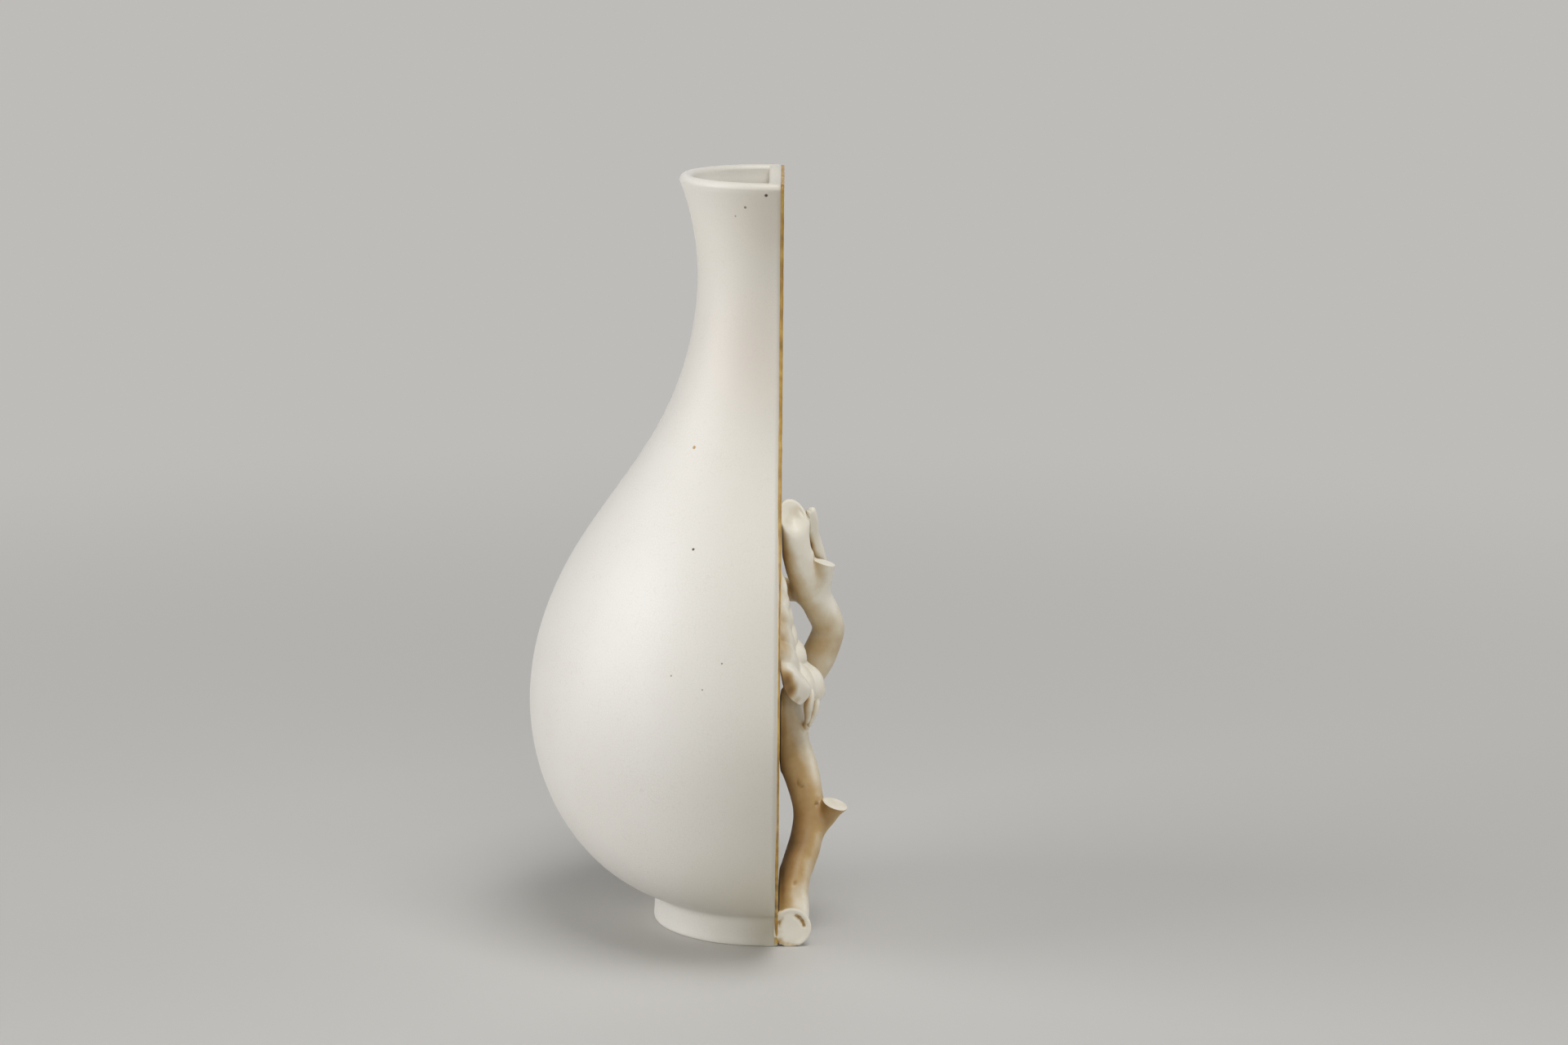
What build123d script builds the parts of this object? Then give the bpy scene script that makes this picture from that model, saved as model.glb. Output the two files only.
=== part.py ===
from build123d import *
import os

# A bottle thrown on the wheel, cut in half lengthwise and closed by a flat slab of clay.
# A modelled branch with one leaf is luted to the slab.
# Millimetres. The origin is on the bottle's axis at the table and +Z is up.
# +X points out of the flat side, where the branch is.

# Outer outline of the bottle, from the foot to the lip
FOOT_RADIUS = 44.0
FOOT_HEIGHT = 12.0
LOW_BELLY_RADIUS = 76.5
LOW_BELLY_LEVEL = 36.0
BELLY_RADIUS = 93.8
BELLY_LEVEL = 92.0
SHOULDER_RADIUS = 77.2
SHOULDER_LEVEL = 148.0
NECK_ROOT_RADIUS = 42.2
NECK_ROOT_LEVEL = 202.0
NECK_RADIUS = 27.9
NECK_LEVEL = 254.0
LIP_RADIUS = 36.0
HEIGHT = 300.0

# Clay thicknesses
WALL = 5.0
SLAB = 6.0
FOOT_RING_WIDTH = 7.0
FOOT_RING_EDGE = 1.0

# Ochre glaze line on the slab's outer arris
LINE_WIDTH = 1.4
LINE_DEPTH = 0.5
LINE_START = 1.0

# The branch is set out from the near corner of the slab's foot.
# Each row is out from the slab's face, along from the log end, up from the table, and radius.
LOG_INSET = 1.0
BRANCH = [
    (6.3, 0.0, 7.0, 6.9),
    (6.3, 3.0, 7.0, 6.9),
    (6.2, 8.5, 9.4, 6.7),
    (6.0, 14.0, 16.8, 6.0),
    (7.2, 20.5, 25.5, 6.4),
    (10.2, 27.0, 33.5, 6.7),
    (11.9, 33.0, 43.5, 6.0),
    (10.0, 39.0, 56.0, 7.0),
    (7.6, 43.0, 64.5, 6.9),
    (5.2, 47.5, 76.0, 6.1),
    (5.4, 51.0, 86.0, 5.9),
    (10.6, 54.0, 96.0, 6.5),
    (17.2, 55.0, 108.8, 6.9),
    (19.2, 53.8, 116.3, 6.5),
    (16.6, 51.3, 124.5, 6.5),
    (12.4, 48.8, 132.5, 6.5),
    (8.9, 46.4, 139.8, 6.1),
    (6.6, 43.6, 149.5, 5.7),
    (5.6, 41.4, 159.0, 5.4),
    (5.2, 39.6, 168.0, 5.3),
    (5.0, 38.2, 176.0, 5.2),
]
# The branch's top is sawn off on a slope that faces the near side
TOP_CUT_ALONG = 43.0
TOP_CUT_LEVEL = 168.8
TOP_CUT_ANGLE = 45.0

LOWER_STUB = [
    (11.5, 33.6, 37.5, 4.6),
    (15.4, 32.6, 41.0, 4.5),
    (19.1, 31.4, 44.8, 4.2),
    (22.9, 29.5, 50.4, 4.9),
]
UPPER_STUB = [
    (14.0, 49.2, 129.0, 3.8),
    (16.0, 46.4, 136.5, 4.0),
    (17.3, 44.0, 144.5, 3.8),
]
SIDE_TWIG = [
    (14.5, 50.0, 131.0, 1.9),
    (18.5, 51.6, 138.5, 1.6),
    (17.8, 50.6, 144.0, 1.6),
    (15.4, 48.0, 152.0, 1.6),
    (12.8, 45.0, 160.0, 1.9),
]
TWIG_BUD = [
    (13.4, 45.7, 158.0, 1.2),
    (12.2, 43.6, 164.0, 2.1),
    (11.9, 42.6, 168.4, 1.1),
]
LIMB_PROP = [
    (11.5, 49.5, 133.0, 5.2),
    (6.0, 54.5, 131.8, 4.7),
    (-3.0, 61.0, 130.6, 5.4),
]

# The leaf is a bent sheet of clay, its upper part pressed onto the slab.
# Each row is up from the table, then along and out for its near edge, ridge and far edge.
LEAF_THICKNESS = 3.2
LEAF = [
    (143.0, (28.0, -5.0), (33.0, 0.3), (38.0, -5.0)),
    (137.0, (23.5, -5.0), (32.5, 2.9), (41.5, -5.0)),
    (128.0, (18.5, -4.0), (31.0, 4.9), (43.5, -4.0)),
    (120.0, (16.0, -3.0), (30.0, 6.4), (44.0, -3.0)),
    (114.5, (14.5, -2.0), (30.0, 8.2), (43.0, -1.0)),
    (109.0, (13.0, -0.5), (31.5, 11.3), (44.0, 1.5)),
    (102.0, (12.5, 1.2), (33.0, 15.6), (44.5, 5.0)),
    (96.5, (15.0, 4.5), (33.0, 18.0), (43.0, 10.0)),
    (93.0, (21.5, 9.5), (31.5, 15.5), (38.5, 12.5)),
]
LEAF_STALK = [
    (13.2, 26.5, 95.5, 1.5),
    (11.2, 28.0, 90.0, 1.7),
    (10.5, 34.0, 84.5, 1.7),
    (10.8, 40.0, 79.0, 1.8),
    (9.4, 46.0, 73.5, 1.9),
]
BUD_LEAF = [
    (16.2, 33.3, 93.8, 0.7),
    (14.8, 34.3, 89.5, 1.9),
    (13.9, 36.0, 85.0, 1.9),
    (12.8, 38.0, 78.5, 0.8),
]


def outline_points(inset):
    """Stations of the bottle's outline, moved inwards by a clay thickness."""
    stations = [
        (FOOT_RADIUS, FOOT_HEIGHT),
        (LOW_BELLY_RADIUS, LOW_BELLY_LEVEL),
        (BELLY_RADIUS, BELLY_LEVEL),
        (SHOULDER_RADIUS, SHOULDER_LEVEL),
        (NECK_ROOT_RADIUS, NECK_ROOT_LEVEL),
        (NECK_RADIUS, NECK_LEVEL),
        (LIP_RADIUS, HEIGHT - WALL / 2),
    ]
    points = [Vector(0, radius, level) for radius, level in stations]
    curve = Spline(*points)
    moved = []
    for point in points[:-1]:
        run = curve.tangent_at(point)
        moved.append(point + Vector(0, -run.Z, run.Y) * inset)
    # The lip's two sides are level
    moved.append(points[-1] - Vector(0, inset, 0))
    return moved


def bottle_half_shell():
    """Wall, floor and rolled lip, turned through half a circle behind the cut."""
    outside = outline_points(0)
    inside = outline_points(WALL)
    crest = Vector(0, LIP_RADIUS - WALL / 2, HEIGHT)
    floor_top = Vector(0, 0, inside[0].Z)
    floor_under = Vector(0, 0, FOOT_HEIGHT)
    section = [
        Spline(*outside),
        ThreePointArc(outside[-1], crest, inside[-1]),
        Spline(*inside),
        Polyline(inside[0], floor_top, floor_under, outside[0]),
    ]
    return revolve(make_face(section), axis=Axis.Z, revolution_arc=180)


def foot_ring():
    """Turned ring under the floor, with its two lower arrises softened."""
    middle = Pos(FOOT_RADIUS - FOOT_RING_WIDTH / 2, FOOT_HEIGHT / 2)
    ring = Plane.YZ * middle * Rectangle(FOOT_RING_WIDTH, FOOT_HEIGHT)
    ring = fillet(ring.vertices().group_by(Axis.Z)[0], FOOT_RING_EDGE)
    return revolve(ring, axis=Axis.Z, revolution_arc=180)


def slab_face(inset):
    """The bottle's whole outline as a flat face on the cut, from the table to the lip."""
    side = outline_points(inset)
    lip_outer = side[-1]
    crest = Vector(0, LIP_RADIUS - WALL / 2, HEIGHT - inset)
    corner = Vector(0, side[0].Y, inset)
    middle_top = Vector(0, 0, HEIGHT - inset)
    middle_foot = Vector(0, 0, inset)
    half = make_face(
        [
            Polyline(middle_foot, corner, side[0]),
            Spline(*side),
            TangentArc(lip_outer, crest, tangent=(0, 0, 1)),
            Polyline(crest, middle_top, middle_foot),
        ]
    )
    return half + mirror(half, about=Plane.XZ)


def ochre_edge_line():
    """Thin band let into the slab's outer arris, open at the table."""
    band = slab_face(0) - slab_face(LINE_DEPTH)
    line = Pos(SLAB - LINE_WIDTH, 0, 0) * extrude(band, LINE_WIDTH, dir=(1, 0, 0))
    below = Pos(SLAB / 2, 0, 0) * Box(2 * SLAB, 4 * BELLY_RADIUS, 2 * LINE_START)
    return line - below


def branch_place(out, along, up):
    """A point of the branch, from the slab's face and the near corner of its foot."""
    return Vector(SLAB + out, along - FOOT_RADIUS + LOG_INSET, up)


def limb(rows):
    """Round limb through its rows, with every section square to its run."""
    points = [branch_place(out, along, up) for out, along, up, radius in rows]
    run = Spline(*points)
    sections = []
    for point, row in zip(points, rows):
        across = Plane(origin=point, x_dir=(1, 0, 0), z_dir=run.tangent_at(point))
        sections.append(across * Circle(row[3]))
    return loft(sections)


def leaf_blade():
    """Bent sheet through an arch at each level of the leaf."""
    arches = []
    for up, near, ridge, far in LEAF:
        outer = [branch_place(out, along, up) for along, out in (near, ridge, far)]
        near_in = outer[0] + Vector(0, LEAF_THICKNESS, 0)
        ridge_in = outer[1] - Vector(LEAF_THICKNESS, 0, 0)
        far_in = outer[2] - Vector(0, LEAF_THICKNESS, 0)
        arch = [
            ThreePointArc(*outer),
            Line(outer[2], far_in),
            ThreePointArc(far_in, ridge_in, near_in),
            Line(near_in, outer[0]),
        ]
        arches.append(make_face(arch))
    return loft(arches)


# The clay that the branch is luted to takes up everything behind the slab's outer face
behind = Pos(SLAB - HEIGHT / 2, 0, HEIGHT / 2) * Box(HEIGHT, 2 * HEIGHT, 2 * HEIGHT)

line = ochre_edge_line()
slab = extrude(slab_face(0), SLAB, dir=(1, 0, 0)) - line

top_cut = Plane(branch_place(0, TOP_CUT_ALONG, TOP_CUT_LEVEL)) * Rot(TOP_CUT_ANGLE, 0, 0)
above = top_cut * Pos(0, 0, HEIGHT / 2) * Box(HEIGHT, HEIGHT, HEIGHT)
branch = limb(BRANCH) - behind - above
lower_stub = limb(LOWER_STUB) - branch
upper_stub = limb(UPPER_STUB) - branch
prop = limb(LIMB_PROP) - behind - branch - upper_stub
twig = limb(SIDE_TWIG) - branch - upper_stub - prop
bud = limb(TWIG_BUD) - twig - branch
leaf = leaf_blade() - behind - branch
stalk = limb(LEAF_STALK) - leaf - branch
bud_leaf = limb(BUD_LEAF) - leaf - stalk - branch

pieces = {
    "bottle_half_shell": bottle_half_shell(),
    "foot_ring": foot_ring(),
    "back_slab": slab,
    "ochre_edge_line": line,
    "main_branch": branch,
    "lower_stub": lower_stub,
    "upper_stub": upper_stub,
    "limb_prop": prop,
    "side_twig": twig,
    "twig_bud": bud,
    "leaf_blade": leaf,
    "leaf_stalk": stalk,
    "bud_leaf": bud_leaf,
}

os.makedirs("parts", exist_ok=True)
for name, piece in pieces.items():
    export_step(piece, f"parts/{name}.step")
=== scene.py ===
import math

import bmesh
import bpy
import numpy as np
from mathutils import Matrix, Vector
from mathutils.bvhtree import BVHTree


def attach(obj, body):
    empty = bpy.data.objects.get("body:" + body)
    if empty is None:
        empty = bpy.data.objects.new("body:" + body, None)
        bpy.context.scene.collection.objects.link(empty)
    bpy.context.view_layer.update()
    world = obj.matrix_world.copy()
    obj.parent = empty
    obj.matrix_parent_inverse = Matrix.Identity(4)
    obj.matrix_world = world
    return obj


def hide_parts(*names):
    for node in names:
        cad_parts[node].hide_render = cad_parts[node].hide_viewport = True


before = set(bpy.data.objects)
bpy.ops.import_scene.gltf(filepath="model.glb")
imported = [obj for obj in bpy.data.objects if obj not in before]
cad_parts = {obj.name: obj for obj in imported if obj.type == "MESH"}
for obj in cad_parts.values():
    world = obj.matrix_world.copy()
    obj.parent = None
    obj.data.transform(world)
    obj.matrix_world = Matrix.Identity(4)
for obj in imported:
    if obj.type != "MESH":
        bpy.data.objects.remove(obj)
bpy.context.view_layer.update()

# Bottle half shell
# Stoneware thrown on the wheel, cut in half lengthwise while leather hard, with a rolled lip.
# It is luted to the slab along the cut and covered all over in white satin glaze.
MM = 0.001
SHELL_STATIONS = [
    (44.0, 12.0),
    (76.5, 36.0),
    (93.8, 92.0),
    (77.2, 148.0),
    (42.2, 202.0),
    (27.9, 254.0),
    (35.0, 297.5),
]
HEIGHT = 300.0
WALL = 5.0
LIP_REACH = 25.0
FLOOR_MIDDLE = 20.0
THROWING_RING_PITCH = 7.5
THROWING_RING_DEPTH = 0.12
# Levels where the throwing rings start, are full, start to fade and are gone
THROWING_RING_LEVELS = (30.0, 60.0, 280.0, 294.0)
SHELL_ROWS = 140
SHELL_STEPS = 181
LIP_STEPS = 15
UNEVENNESS = 0.18
UNEVEN_WAVES_PER_METRE = 22.0
# Points nearer than this, in metres, are one point
WELD = 1e-6


def smooth_line(rows, count):
    """Points on one smooth curve through all rows. A row is a place, and may carry a radius too."""
    rows = np.array(rows, float)
    last = len(rows) - 1
    runs = np.linalg.norm(np.diff(rows[:, :3], axis=0), axis=1)
    knots = np.concatenate([[0.0], np.cumsum(runs)])
    slopes = np.diff(rows, axis=0) / runs[:, None]
    system = np.zeros((last + 1, last + 1))
    wanted = np.zeros_like(rows)
    for i in range(1, last):
        system[i, i - 1:i + 2] = runs[i - 1], 2 * (runs[i - 1] + runs[i]), runs[i]
        wanted[i] = 6 * (slopes[i] - slopes[i - 1])
    if last > 2:
        system[0, :3] = runs[1], -(runs[0] + runs[1]), runs[0]
        system[last, -3:] = runs[-1], -(runs[-2] + runs[-1]), runs[-2]
    else:
        system[0, 0] = 1
        system[last, last] = 1
    bend = np.linalg.solve(system, wanted)
    at = np.linspace(0, knots[-1], count)
    k = np.clip(np.searchsorted(knots, at) - 1, 0, last - 1)
    span = runs[k][:, None]
    before = (knots[k + 1] - at)[:, None] / span
    after = 1 - before
    pull = (before**3 - before) * bend[k] + (after**3 - after) * bend[k + 1]
    return before * rows[k] + after * rows[k + 1] + pull * span**2 / 6


def shell_side(inset, count):
    """The wall's outline from the foot to the lip, moved inwards by a thickness."""
    line = smooth_line([(0, radius, level) for radius, level in SHELL_STATIONS], count)
    run = np.gradient(line, axis=0)
    run /= np.linalg.norm(run, axis=1)[:, None]
    # Towards the lip the wall is measured level
    level = np.clip((HEIGHT - WALL / 2 - line[:, 2]) / LIP_REACH, 0, 1)
    inward = np.stack([run[:, 0], -run[:, 2], run[:, 1] * level], axis=1)
    return line + inset * inward / np.linalg.norm(inward, axis=1)[:, None]


def shell_outline():
    """Section of the wall from under the floor, out over the lip and down to the floor inside."""
    outside = shell_side(0, SHELL_ROWS)
    inside = shell_side(WALL, SHELL_ROWS)[::-1]
    level = inside[:, 2]
    fade = np.interp(level, THROWING_RING_LEVELS, (0, 1, 1, 0))
    rings = 0.5 - 0.5 * np.cos(2 * math.pi * level / THROWING_RING_PITCH)
    inside[:, 1] -= THROWING_RING_DEPTH * fade * rings
    middle = (outside[-1] + inside[0]) / 2
    turn = np.linspace(0, math.pi, LIP_STEPS)[1:-1]
    lip = [middle + WALL / 2 * np.array([0, math.cos(a), math.sin(a)]) for a in turn]
    under = [(0, 0, outside[0][2]), (0, FLOOR_MIDDLE, outside[0][2])]
    floor = [(0, FLOOR_MIDDLE, inside[-1][2]), (0, 0, inside[-1][2])]
    return np.concatenate([under, outside, lip, inside, floor])


def put(tree, kind, inputs=None, **settings):
    """Adds one node with its settings. An input is a value, an output, or a node for its first output."""
    node = tree.nodes.new(kind)
    for name, value in settings.items():
        setattr(node, name, value)
    for key, value in (inputs or {}).items():
        if isinstance(value, bpy.types.Node):
            value = value.outputs[0]
        if isinstance(value, bpy.types.NodeSocket):
            tree.links.new(value, node.inputs[key])
        else:
            node.inputs[key].default_value = value
    return node


def shape_tree(name, rows):
    """A new node tree that makes one mesh, and its named inputs. The last one is always a material."""
    tree = bpy.data.node_groups.new(name, "GeometryNodeTree")
    for label, kind in (*rows, ("Material", "NodeSocketMaterial")):
        tree.interface.new_socket(label, in_out="INPUT", socket_type=kind)
    tree.interface.new_socket("Mesh", in_out="OUTPUT", socket_type="NodeSocketGeometry")
    return tree, put(tree, "NodeGroupInput").outputs


def shape_done(tree, given, shape):
    """Ends a shape's node tree: the mesh is smooth, real and in its material."""
    smooth = put(tree, "GeometryNodeSetShadeSmooth", {"Geometry": shape})
    real = put(tree, "GeometryNodeRealizeInstances", {"Geometry": smooth})
    dressed = put(tree, "GeometryNodeSetMaterial", {"Geometry": real, "Material": given["Material"]})
    put(tree, "NodeGroupOutput", {"Mesh": dressed})


# The wheel: an outline is turned half round the upright axis, a little unevenly
wheel, given = shape_tree("turned_half_round", [
    ("Outline", "NodeSocketGeometry"),
    ("Steps", "NodeSocketInt"),
    ("Unevenness", "NodeSocketFloat"),
])
size = put(wheel, "GeometryNodeAttributeDomainSize", {"Geometry": given["Outline"]})
grid = put(wheel, "GeometryNodeMeshGrid", {
    "Vertices X": size.outputs["Point Count"],
    "Vertices Y": given["Steps"],
})
index = put(wheel, "GeometryNodeInputIndex").outputs["Index"]
row = put(wheel, "FunctionNodeIntegerMath", {0: index, 1: given["Steps"]}, operation="DIVIDE_FLOOR")
step = put(wheel, "FunctionNodeIntegerMath", {0: index, 1: given["Steps"]}, operation="MODULO")
station = put(wheel, "GeometryNodeSampleIndex", {
    "Geometry": given["Outline"],
    "Value": put(wheel, "GeometryNodeInputPosition").outputs["Position"],
    "Index": row,
}, data_type="FLOAT_VECTOR", domain="POINT")
last_step = put(wheel, "ShaderNodeMath", {0: given["Steps"], 1: 1.0}, operation="SUBTRACT")
share = put(wheel, "ShaderNodeMath", {0: step, 1: last_step}, operation="DIVIDE")
angle = put(wheel, "ShaderNodeMath", {0: share, 1: math.pi}, operation="MULTIPLY")
turned = put(wheel, "ShaderNodeVectorRotate", {
    "Vector": station.outputs["Value"],
    "Angle": angle,
}, rotation_type="Z_AXIS")
wander = put(wheel, "ShaderNodeTexNoise", {
    "Vector": turned.outputs["Vector"],
    "Scale": UNEVEN_WAVES_PER_METRE,
    "Detail": 1.0,
})
drawn_in = put(wheel, "ShaderNodeMath", {0: wander, 1: given["Unevenness"]}, operation="MULTIPLY")
inward = put(wheel, "ShaderNodeVectorMath", {
    0: turned.outputs["Vector"],
    1: (-1.0, -1.0, 0.0),
}, operation="MULTIPLY")
inward = put(wheel, "ShaderNodeVectorMath", {0: inward}, operation="NORMALIZE")
shift = put(wheel, "ShaderNodeVectorMath", {0: inward, "Scale": drawn_in}, operation="SCALE")
spun = put(wheel, "GeometryNodeSetPosition", {
    "Geometry": grid.outputs["Mesh"],
    "Position": turned.outputs["Vector"],
    "Offset": shift,
})
joined = put(wheel, "GeometryNodeMergeByDistance", {"Geometry": spun, "Distance": WELD})
shape_done(wheel, given, joined)


def close_up(mesh):
    """Closes the open cuts of a mesh and turns all its faces outwards."""
    work = bmesh.new()
    work.from_mesh(mesh)
    bmesh.ops.remove_doubles(work, verts=work.verts, dist=WELD)
    rim = [edge for edge in work.edges if edge.is_boundary]
    cuts = bmesh.ops.holes_fill(work, edges=rim, sides=0)["faces"]
    for face in cuts:
        face.smooth = False
        for edge in face.edges:
            edge.smooth = False
    bmesh.ops.triangulate(work, faces=cuts)
    bmesh.ops.dissolve_degenerate(work, dist=WELD / 10, edges=work.edges)
    if work.calc_volume(signed=True) < 0:
        bmesh.ops.reverse_faces(work, faces=work.faces)
    work.to_mesh(mesh)
    work.free()


def piece(name, mesh, material=None):
    """Puts a finished mesh in the scene in place of the CAD node of its name."""
    made = bpy.data.objects.new(name + "_piece", mesh)
    bpy.context.scene.collection.objects.link(made)
    if material:
        mesh.materials.append(material)
    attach(made, "root")
    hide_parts(name)
    return made


def shaped(tree, points, inputs):
    """The plain mesh that a shape's node tree makes from a line of points in millimetres."""
    line = bpy.data.meshes.new("line")
    links = [(i, i + 1) for i in range(len(points) - 1)]
    line.from_pydata([Vector(p) * MM for p in points], links, [])
    carrier = bpy.data.objects.new("carrier", line)
    bpy.context.scene.collection.objects.link(carrier)
    modifier = carrier.modifiers.new("shape", "NODES")
    modifier.node_group = tree
    for item in tree.interface.items_tree:
        if item.in_out == "INPUT" and item.name in inputs:
            modifier[item.identifier] = inputs[item.name]
    graph = bpy.context.evaluated_depsgraph_get()
    mesh = bpy.data.meshes.new_from_object(carrier.evaluated_get(graph))
    carrier.modifiers.remove(modifier)
    bpy.data.objects.remove(carrier)
    bpy.data.meshes.remove(line)
    close_up(mesh)
    return mesh


def colour(hex_value):
    """An sRGB hex value as linear red, green, blue and full cover."""
    linear = []
    for place in (0, 2, 4):
        level = int(hex_value[place:place + 2], 16) / 255
        linear.append(level / 12.92 if level <= 0.04045 else ((level + 0.055) / 1.055) ** 2.4)
    return (*linear, 1.0)


# White satin stoneware glaze, poured on and fired matt
# The eye sees a soft broad sheen, a net of fine crackle, warm and cool clouds and a few iron specks.
WHITE = "E7E5E0"
WHITE_WARM = "DFDBD4"
CLOUD = 45.0
SHEEN = (0.4, 0.52)
GLAZE_IOR = 1.5
CRACKLE_LINE = "B9B0A0"
CRACKLE_CELL = 1.3
# Share of a cell that a crack takes up, how strongly it shows, and how large the crackled patches are
CRACK_WIDTH = 0.07
CRACK_STRENGTH = 0.32
CRACKLE_PATCH = 18.0
# The glaze's fine unevenness: size, depth and how strongly it shows
PEEL = 1.6
PEEL_DEPTH = 0.15
PEEL_STRENGTH = 0.12
# The glaze turns darker and warmer towards the slab's edge: how far it is all white, how far it is warm,
# strength, colour
EDGE_WARMTH = (-45.0, 5.0, 0.5, "CFC8B6")
# Past the slab's outer arris it is white again: where the warmth starts to fade, and where it is gone
FLAT_SIDE_WHITE = (5.3, 6.0)
# Soft tints in the glaze, with painted light and painted shade among them: place, radius, strength, colour
TINTS_AND_PAINTED_LIGHT = [
    ((-6.0, -28.0, 235.0), 40.0, 0.25, "D2BFB4"),
    ((0.0, -33.0, 285.0), 26.0, 0.25, "CDBBA6"),
    # A paler ivory patch inside the mouth: its ivory tone, and painted light that lifts the dim inside
    ((-8.0, 3.0, 282.0), 34.0, 0.55, "F1EBD8"),
    # Greenish grey low on the belly beside the slab: a stain, made darker still as painted shade
    ((2.0, -62.0, 24.0), 46.0, 0.45, "BDB89C"),
    # Darker at the foot beside the slab: a stain, and painted shade near the floor
    ((4.0, -44.0, 6.0), 15.0, 0.5, "ADA489"),
    ((2.0, 60.0, 26.0), 50.0, 0.4, "C3BFA6"),
    ((-30.0, 24.0, 250.0), 34.0, 0.25, "CBB5A9"),
]
# Iron specks burnt through the glaze: place, radius, colour. Their colour is full over a share of the radius.
SPECK_CORE = 0.6
IRON_SPECKS = [
    ((-27.9, -34.6, 197.6), 0.85, "B08A55"),
    ((-27.5, -61.7, 163.0), 0.65, "553419"),
    ((-0.9, -34.2, 295.5), 0.8, "4A4034"),
    ((-8.9, -31.2, 290.5), 0.65, "8C7A62"),
    ((-12.7, -28.7, 286.8), 0.45, "A79A86"),
    ((-16.0, -86.5, 124.2), 0.45, "8F8373"),
    ((-35.2, -82.4, 118.3), 0.45, "988C7C"),
    ((-23.3, -87.7, 114.2), 0.4, "988C7C"),
    ((-61.0, 40.5, 152.0), 0.6, "6A4A2A"),
    ((-80.0, 38.0, 70.0), 0.5, "988C7C"),
    ((-25.0, 12.5, 262.0), 0.5, "8C7A62"),
]


def glaze(name):
    """A new material, its empty tree and the object's own places in it."""
    made = bpy.data.materials.new(name)
    made.use_nodes = True
    made.node_tree.nodes.clear()
    return made, made.node_tree, put(made.node_tree, "ShaderNodeTexCoord").outputs["Object"]


def spotted(tree, place, skin, spot, radii, strength, shade, **settings):
    """A glaze's colour with another shade round one spot, full at the first radius and gone at the second."""
    far = put(tree, "ShaderNodeVectorMath", {
        0: place,
        1: [value * MM for value in spot],
    }, operation="DISTANCE")
    cover = put(tree, "ShaderNodeMapRange", {
        "Value": far.outputs["Value"],
        "From Min": radii[0] * MM,
        "From Max": radii[1] * MM,
        "To Min": strength,
        "To Max": 0.0,
    }, **settings)
    over = put(tree, "ShaderNodeMix", {"Factor": cover, 6: skin, 7: colour(shade)}, data_type="RGBA")
    return over.outputs[2]


white_glaze, tree, place = glaze("white_satin_stoneware_glaze")
clouds = put(tree, "ShaderNodeTexNoise", {"Vector": place, "Scale": 1 / (CLOUD * MM), "Detail": 3.0})
tone = put(tree, "ShaderNodeMix", {
    "Factor": clouds,
    6: colour(WHITE),
    7: colour(WHITE_WARM),
}, data_type="RGBA")
cells = put(tree, "ShaderNodeTexVoronoi", {
    "Vector": place,
    "Scale": 1 / (CRACKLE_CELL * MM),
}, feature="DISTANCE_TO_EDGE")
hairline = put(tree, "ShaderNodeMapRange", {
    "Value": cells.outputs["Distance"],
    "From Min": 0.0,
    "From Max": CRACK_WIDTH,
    "To Min": CRACK_STRENGTH,
    "To Max": 0.0,
})
patchy = put(tree, "ShaderNodeTexNoise", {"Vector": place, "Scale": 1 / (CRACKLE_PATCH * MM), "Detail": 2.0})
crackle = put(tree, "ShaderNodeMath", {0: hairline, 1: patchy}, operation="MULTIPLY")
cracked = put(tree, "ShaderNodeMix", {
    "Factor": crackle,
    6: tone.outputs[2],
    7: colour(CRACKLE_LINE),
}, data_type="RGBA")
all_white, all_warm, strength, shade = EDGE_WARMTH
across = put(tree, "ShaderNodeSeparateXYZ", {0: place})
cover = put(tree, "ShaderNodeMapRange", {
    "Value": across.outputs["X"],
    "From Min": all_white * MM,
    "From Max": all_warm * MM,
    "To Min": 0.0,
    "To Max": strength,
})
flat_side = put(tree, "ShaderNodeMapRange", {
    "Value": across.outputs["X"],
    "From Min": FLAT_SIDE_WHITE[0] * MM,
    "From Max": FLAT_SIDE_WHITE[1] * MM,
    "To Min": 1.0,
    "To Max": 0.0,
})
cover = put(tree, "ShaderNodeMath", {0: cover, 1: flat_side}, operation="MULTIPLY")
warmer = put(tree, "ShaderNodeMix", {
    "Factor": cover,
    6: cracked.outputs[2],
    7: colour(shade),
}, data_type="RGBA")
skin = warmer.outputs[2]
for spot, radius, strength, shade in TINTS_AND_PAINTED_LIGHT:
    skin = spotted(tree, place, skin, spot, (0, radius), strength, shade, interpolation_type="SMOOTHSTEP")
for spot, radius, shade in IRON_SPECKS:
    skin = spotted(tree, place, skin, spot, (SPECK_CORE * radius, radius), 1.0, shade)
sheen = put(tree, "ShaderNodeMapRange", {"Value": clouds, "To Min": SHEEN[0], "To Max": SHEEN[1]})
peel = put(tree, "ShaderNodeTexNoise", {"Vector": place, "Scale": 1 / (PEEL * MM), "Detail": 2.0})
relief = put(tree, "ShaderNodeBump", {
    "Height": peel,
    "Strength": PEEL_STRENGTH,
    "Distance": PEEL_DEPTH * MM,
})
fired = put(tree, "ShaderNodeBsdfPrincipled", {
    "Base Color": skin,
    "Roughness": sheen,
    "IOR": GLAZE_IOR,
    "Normal": relief,
})
put(tree, "ShaderNodeOutputMaterial", {"Surface": fired})

shell_mesh = shaped(wheel, shell_outline(), {
    "Steps": SHELL_STEPS,
    "Unevenness": UNEVENNESS * MM,
    "Material": white_glaze,
})
piece("bottle_half_shell", shell_mesh)

# Foot ring
# Half of a ring turned from the bottle's base, its lower arrises wiped round with a wet sponge.
# It carries the bottle and runs up into the belly in one soft turned hollow.
FOOT_RADIUS = 44.0
FOOT_WIDTH = 7.0
FOOT_ROWS = 40
FOOT_STEPS = 121
FOOT_UNEVENNESS = 0.1
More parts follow.
